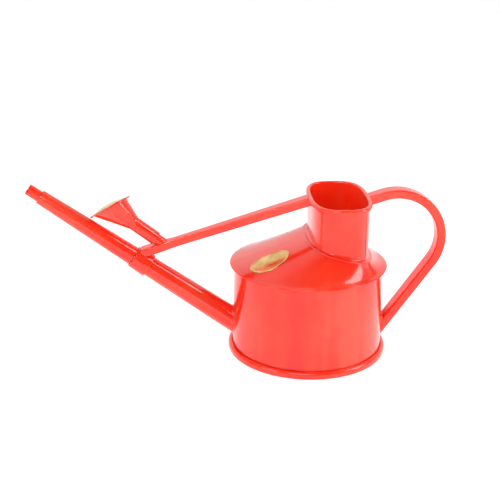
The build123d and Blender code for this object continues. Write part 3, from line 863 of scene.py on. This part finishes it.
lower_rings = [
    root_ring(ROOT_RADIUS - LOWER_WALL, 0, WALL_THICKNESS),
    root_ring(ROOT_RADIUS - ROOT_SINK, 0, WALL_THICKNESS),
    root_ring(ROOT_RADIUS - ROOT_SINK, 0, 0.2),
    root_ring(ROOT_RADIUS + ROOT_FILLET, 0, 0.15),
]
lower_rings += [root_ring(ROOT_RADIUS + ROOT_FILLET * out, beyond) for out, beyond in FILLET_PROFILE]
lower_rings += [tube_ring(lower_radius(along), along) for along in (20, 35, 50, 65, LOWER_END)]
lower_rings += [tube_ring(GUIDE_RADIUS, LOWER_END), tube_ring(GUIDE_RADIUS, GUIDE_START)]
lower_rings += [tube_ring(5.7, 70.0), tube_ring(ROOT_RADIUS - LOWER_WALL, 12.0), lower_rings[0]]
lower_tube = drawn_over("lower_tube", lower_rings)
finish_piece(lower_tube, "can", "lower_spout", plain_red)

# %% Collar
COLLAR_START = 73.9
COLLAR_END = 87.2
COLLAR_BORE = 7.15
ROOT_FOOT = SPOUT_ROOT * MM

collar = turned(
    "collar",
    [
        (COLLAR_BORE, COLLAR_START, 0),
        (8.6, COLLAR_START, 0.6),
        (7.9, COLLAR_END, 0.6),
        (GUIDE_RADIUS, COLLAR_END, 0.3),
        (GUIDE_RADIUS, 80.6, 0),
        (LOWER_END_RADIUS, 80.6, 0),
        (COLLAR_BORE, COLLAR_START, 0),
    ],
    ROOT_FOOT,
    SPOUT_WAY,
    ROUND,
)
finish_piece(collar, "can", "spout_collar", plain_red)

# %% Upper spout
UPPER_START = 87.3
UPPER_END = 164.2
UPPER_BORE = 4.2
PLUG_START = 76.3
PLUG_RADIUS = 5.8
TIP_SEAT_RADIUS = 3.7

upper_tube = turned(
    "upper_tube",
    [
        (UPPER_BORE, PLUG_START, 0),
        (PLUG_RADIUS, PLUG_START, 0.6),
        (PLUG_RADIUS, UPPER_START, 0),
        (6.8, UPPER_START, 0.3),
        (6.0, 125.0, 0),
        (5.1, UPPER_END, 0.45),
        (4.05, UPPER_END, 0),
        (TIP_SEAT_RADIUS, UPPER_END - 0.3, 0),
        (TIP_SEAT_RADIUS, 156.2, 0),
        (UPPER_BORE, 152.2, 0),
        (UPPER_BORE, PLUG_START, 0),
    ],
    ROOT_FOOT,
    SPOUT_WAY,
    ROUND,
)
finish_piece(upper_tube, "spout_end", "upper_spout", plain_red)

# %% Nozzle tip
TIP_END = 174.0
TIP_START = 156.3
TIP_BORE = 2.8
SHANK_RADIUS = 3.68
SPIGOT_RADIUS = 4.0
NOTCH_SCALE = (20, 1.8, 2.4)

tip = turned(
    "tip",
    [
        (TIP_BORE, TIP_START, 0),
        (SHANK_RADIUS, TIP_START, 0.2),
        (SHANK_RADIUS, UPPER_END - 0.2, 0),
        (SPIGOT_RADIUS, UPPER_END - 0.2, 0),
        (SPIGOT_RADIUS, TIP_END, 0.5),
        (TIP_BORE, TIP_END, 0.3),
        (TIP_BORE, TIP_START, 0),
    ],
    ROOT_FOOT,
    SPOUT_WAY,
    ROUND,
)
let_go()
bpy.ops.mesh.primitive_cube_add(
    size=MM,
    location=(SPOUT_ROOT + SPOUT_WAY * TIP_END) * MM,
    rotation=SPOUT_WAY.to_track_quat("Z", "Y").to_euler(),
    scale=NOTCH_SCALE,
)
cut_away(tip, bpy.context.object)
finish_piece(tip, "spout_end", "nozzle_tip", plain_red)

# %% [markdown]
# ## The bars: stay and handle
#
# Both bars are moulded strips with slightly crowned sides and softly broken edges, which is just what a
# squarish superellipse gives. The stay's strip narrows to a waist and widens again into its foot on the
# collar. The handle's strip runs straight from the neck, round one large bend and straight down to a pad
# on the wall. A curve with a bevel could carry the section, but rings let the ends be cut upright.

# %% A strip's section
BAR_POWER = 8.0


def oval(middle, across, up, half_across, half_up, power=2.0, count=64):
    """A ring that follows a superellipse: power 2 is an ellipse, and more is squarer."""
    ring = []
    for turn in turns(count):
        reach = reach_at(turn, power)
        spot = middle + across * (half_across * reach * cos(turn)) + up * (half_up * reach * sin(turn))
        ring.append(spot * MM)
    return ring


print("a bar's corner reaches", round(reach_at(pi / 4, BAR_POWER), 2), "half widths")

# %% Stay
STAY_ANGLE = radians(17.45)
STAY_FALL = tan(STAY_ANGLE)
STAY_TOP = NECK_TOP - 0.1
STAY_START_X = 0.2
STAY_HALF_HEIGHT = 3.0 / cos(STAY_ANGLE)
STAY_WIDTHS = [(0.4, 12.2), (-30, 10.28), (-62, 8.24), (-90, 6.45), (-94, 6.3), (-97, 6.9), (-102, 9.6)]
STAY_WIDTHS += [(-105.2, 10.6), (-112, 10.8), (-119.0, 10.8), (-119.5, 10.2)]
COLLAR_CUT_RADIUS = 7.3

stay_rings = []
for x, width in STAY_WIDTHS:
    top = STAY_TOP + (x - STAY_START_X) * STAY_FALL
    middle = Vector((x, 0, top - STAY_HALF_HEIGHT))
    stay_rings.append(oval(middle, Y, Z, width / 2, STAY_HALF_HEIGHT, BAR_POWER))
stay = drawn_over("stay", stay_rings, capped=True)
cut_away(stay, drill(SPOUT_ROOT + SPOUT_WAY * 80, SPOUT_WAY, COLLAR_CUT_RADIUS, 60, ROUND))
finish_piece(stay, "can", "stay_bar", plain_red)

# %% Sections of the handle
BAR_HALF_WIDTH = 6.1
BAR_HALF_THICKNESS = 3.2
BEND = Vector((62.0, 0, 83.8))
BEND_RADIUS = 32.9


def bend_out(angle):
    """The way out from the bend's centre at an angle in degrees."""
    return Vector((cos(radians(angle)), 0, sin(radians(angle))))


def bend_middle(angle):
    """The middle of the bar at an angle round the bend."""
    return BEND + bend_out(angle) * BEND_RADIUS


def bend_ring(angle):
    """The bar's section at an angle round the bend."""
    return oval(bend_middle(angle), Y, bend_out(angle), BAR_HALF_WIDTH, BAR_HALF_THICKNESS, BAR_POWER)


def upright_ring(start, way, x, outer):
    """The bar's section where a straight run meets an upright wall; outer is its outer side, up or down."""
    middle = start + way * ((x - start.x) / way.x)
    return oval(middle, Y, outer, BAR_HALF_WIDTH, BAR_HALF_THICKNESS / abs(way.x), BAR_POWER)


print("the bend is", 2 * BEND_RADIUS, "mm across")

# %% Handle bar
TOP_SLOPE = 18.0
LEG_SLOPE = 55.5
TOP_ANGLE = 90 + TOP_SLOPE
LEG_ANGLE = LEG_SLOPE - 90
BEND_STEPS = 44
TOP_WAY = -bend_out(TOP_SLOPE)
LEG_WAY = -bend_out(LEG_SLOPE)
INSIDE_NECK_X = 40.0
INSIDE_WALL_X = 54.8

handle_rings = [upright_ring(bend_middle(TOP_ANGLE), TOP_WAY, INSIDE_NECK_X, Z)]
handle_rings += [
    bend_ring(TOP_ANGLE + (LEG_ANGLE - TOP_ANGLE) * step / BEND_STEPS) for step in range(BEND_STEPS + 1)
]
handle_rings += [upright_ring(bend_middle(LEG_ANGLE), LEG_WAY, INSIDE_WALL_X, -Z)]
handle = drawn_over("handle", handle_rings, capped=True)
print("the bar is drawn over", len(handle_rings), "rings")

# %% Handle pad
PAD_MIDDLE = 18.6
PAD_HALF_HEIGHT = 7.6
PAD_HALF_WIDTH = 7.0
PAD_DEPTH = 1.3
PAD_POWER = 7.0
PAD_PROFILE = [(-3.0, 0), (-0.5, 0), (-0.15, 0.12), (0, 0.45)]

pad_face = wall_radius(PAD_MIDDLE) + PAD_DEPTH
pad_rings = []
for out, shrink in PAD_PROFILE:
    middle = Vector((pad_face + out, 0, PAD_MIDDLE))
    pad_rings.append(oval(middle, Y, Z, PAD_HALF_WIDTH - shrink, PAD_HALF_HEIGHT - shrink, PAD_POWER))
pad = drawn_over("pad", pad_rings, capped=True)
let_go()
pad.select_set(True)
handle.select_set(True)
bpy.context.view_layer.objects.active = handle
bpy.ops.object.join()
finish_piece(handle, "can", "rear_handle", plain_red)

# %% [markdown]
# ## The rose
#
# The rose is pushed over a peg on the stay when it isn't in use. Its stem is round, and its cone leans to a
# slanted flange, so rings again: round ones square to the stem, then round ones square to the face. The
# brass face is a shallow dome of thin sheet, pierced with rings of fine holes.

# %% Peg
PEG_ANGLE = radians(37.6)
PEG_WAY = Vector((-cos(PEG_ANGLE), 0, sin(PEG_ANGLE)))
PEG_X = -105.2
PEG_FOOT = Vector((PEG_X, 0, STAY_TOP + (PEG_X - STAY_START_X) * STAY_FALL))
PEG_END = 16.4
PEG_SINK = 3.2

peg = turned(
    "peg",
    [(0, -PEG_SINK, 0), (SPIGOT_RADIUS, -PEG_SINK, 0), (SPIGOT_RADIUS, PEG_END, 0.5), (0, PEG_END, 0)],
    PEG_FOOT * MM,
    PEG_WAY,
    48,
)
finish_piece(peg, "can", "rose_peg", plain_red)

# %% Rings of the rose
HEAD_TURN = radians(32.5)
HEAD_TILT = radians(27.0)
HEAD_DISTANCE = 39.6
PEG_EXPOSED = 4.4
PEG_SIDE = Vector((sin(PEG_ANGLE), 0, cos(PEG_ANGLE)))
ROSE_MOUTH = PEG_FOOT + PEG_WAY * PEG_EXPOSED
TURNED_SIDE = PEG_SIDE * cos(HEAD_TURN) + Y * sin(HEAD_TURN)
CROSSWAYS = PEG_WAY.cross(TURNED_SIDE)
FACE_WAY = PEG_WAY * cos(HEAD_TILT) + TURNED_SIDE * sin(HEAD_TILT)
FACE_SIDE = TURNED_SIDE * cos(HEAD_TILT) - PEG_WAY * sin(HEAD_TILT)
FACE_MIDDLE = ROSE_MOUTH + PEG_WAY * HEAD_DISTANCE
ROSE_COUNT = 96


def stem_ring(radius, along):
    """A ring square to the stem, at a distance from its mouth."""
    return oval(ROSE_MOUTH + PEG_WAY * along, TURNED_SIDE, CROSSWAYS, radius, radius, count=ROSE_COUNT)


def face_ring(radius, above):
    """A ring square to the face, above or below it."""
    return oval(FACE_MIDDLE + FACE_WAY * above, FACE_SIDE, CROSSWAYS, radius, radius, count=ROSE_COUNT)


print("the rose's face looks along", FACE_WAY)

# %% Rose body
STEM_LENGTH = 18.7
STEM_RADIUS = 4.95
STEM_BORE = 3.0
SOCKET_RADIUS = 4.05
SOCKET_DEPTH = 13.0
CONE_RADIUS = 12.9
CONE_BORE = 11.9
FLANGE_THICKNESS = 1.1
FLANGE = [(15.2, -FLANGE_THICKNESS), (15.5, -0.98), (15.6, -0.7), (15.6, -0.3), (15.5, -0.08)]
FLANGE += [(15.25, 0), (14.75, 0), (14.72, -0.55), (CONE_BORE, -0.6), (CONE_BORE, -FLANGE_THICKNESS)]

stem_end = stem_ring(STEM_RADIUS, STEM_LENGTH)
cone_end = face_ring(CONE_RADIUS, -FLANGE_THICKNESS)
rose_rings = [
    stem_ring(SOCKET_RADIUS, 0.3),
    stem_ring(4.3, 0),
    stem_ring(STEM_RADIUS - 0.35, 0),
    stem_ring(STEM_RADIUS - 0.1, 0.1),
    stem_ring(STEM_RADIUS, 0.4),
    stem_ring(STEM_RADIUS, STEM_LENGTH - 1.0),
    stem_end,
]
rose_rings += [between(stem_end, cone_end, step / 10, 0) for step in range(1, 10)]
rose_rings += [cone_end]
rose_rings += [face_ring(radius, above) for radius, above in FLANGE]
rose_rings += [stem_ring(STEM_BORE, STEM_LENGTH), stem_ring(STEM_BORE, SOCKET_DEPTH)]
rose_rings += [stem_ring(SOCKET_RADIUS, SOCKET_DEPTH), stem_ring(SOCKET_RADIUS, 0.3)]
rose = drawn_over("rose", rose_rings)
finish_piece(rose, "rose", "rose_body", plain_red)

# %% Rose face
FACE_RADIUS = 14.68
SHEET = 0.6
DOME_RADIUS = 13.5
DOME_RISE = 2.2
SPHERE = (DOME_RADIUS**2 + DOME_RISE**2) / (2 * DOME_RISE)
DOME_STEPS = 9


def dome(radius):
    """Height of the dome above its edge."""
    return DOME_RISE - SPHERE + sqrt(SPHERE**2 - radius**2)


radii = [DOME_RADIUS * step / DOME_STEPS for step in range(DOME_STEPS + 1)]
face_outline = [(radius, dome(radius), 0) for radius in radii]
face_outline += [(FACE_RADIUS, 0, 0), (FACE_RADIUS, SHEET, 0.2)]
face_outline += [(radius, dome(radius) + SHEET, 0) for radius in reversed(radii)]
face_foot = FACE_MIDDLE - FACE_WAY * SHEET
rose_sheet = turned("rose_sheet", face_outline, face_foot * MM, FACE_WAY, ROSE_COUNT)
print("the dome is part of a sphere of", round(SPHERE, 1), "mm radius")

# %% Holes in the rose
HOLE_RADIUS = 0.45
HOLE_PITCH = 2.4
HOLE_RINGS = 5
HOLES_ADDED = 6


def hole_places():
    """The middle hole and its rings of holes, as places across the face."""
    places = [(0.0, 0.0)]
    for ring in range(1, HOLE_RINGS + 1):
        for turn in turns(HOLES_ADDED * ring):
            places.append((ring * HOLE_PITCH * cos(turn), ring * HOLE_PITCH * sin(turn)))
    return places


first_pin = drill(FACE_MIDDLE, FACE_WAY, HOLE_RADIUS, 6, 16)
pins = [first_pin]
for side, cross in hole_places()[1:]:
    pin = first_pin.copy()
    pin.data = first_pin.data.copy()
    bpy.context.scene.collection.objects.link(pin)
    pin.location = (FACE_MIDDLE + FACE_SIDE * side + CROSSWAYS * cross) * MM
    pins.append(pin)
let_go()
for pin in pins:
    pin.select_set(True)
bpy.context.view_layer.objects.active = first_pin
bpy.ops.object.join()
cut_away(rose_sheet, first_pin)
finish_piece(rose_sheet, "rose", "rose_face", pressed_brass)
print("holes in the rose:", len(pins))

# %% [markdown]
# ## The badge
#
# An oval foil badge lies on the cover's near side, with a plain raised border. The cover isn't flat there,
# so each of the badge's rings is dropped on to it: a ray is cast straight down at each corner, and the
# corner is set a little above the place where the ray lands.

# %% Badge
BADGE_X = -29.4
BADGE_Y = -20.6
BADGE_HALF_LENGTH = 13.75
BADGE_HALF_WIDTH = 10.75
BADGE_TURN = radians(12.0)
BADGE_COUNT = 96
BADGE_PROFILE = [(0.0, 0.02), (0.0, 0.38), (0.12, 0.50), (0.45, 0.58), (0.8, 0.50), (1.05, 0.34)]
BADGE_PROFILE += [(1.4, 0.32), (3.0, 0.34), (5.0, 0.36), (7.2, 0.38), (9.0, 0.39), (10.5, 0.40)]

bpy.context.view_layer.update()
cover_now = cover.evaluated_get(bpy.context.evaluated_depsgraph_get())


def on_cover(x, y, lift):
    """A point lifted off the cover at a place seen from above."""
    hit, spot, way, _ = cover_now.ray_cast(Vector((x, y, 150)) * MM, Vector((0, 0, -1)))
    if not hit:
        raise ValueError("the badge hangs over the cover's edge")
    return spot + way * lift * MM


def badge_ring(inset, lift):
    """A ring of the badge, drawn in from its edge."""
    ring = []
    for turn in turns(BADGE_COUNT):
        along = (BADGE_HALF_LENGTH - inset * BADGE_HALF_LENGTH / BADGE_HALF_WIDTH) * cos(turn)
        aside = (BADGE_HALF_WIDTH - inset) * sin(turn)
        x = BADGE_X + along * cos(BADGE_TURN) - aside * sin(BADGE_TURN)
        y = BADGE_Y + along * sin(BADGE_TURN) + aside * cos(BADGE_TURN)
        ring.append(on_cover(x, y, lift))
    return ring


badge_rings = [badge_ring(inset, lift) for inset, lift in BADGE_PROFILE]
badge = drawn_over("badge", badge_rings, capped=True)
finish_piece(badge, "can", "oval_badge", gold_foil)
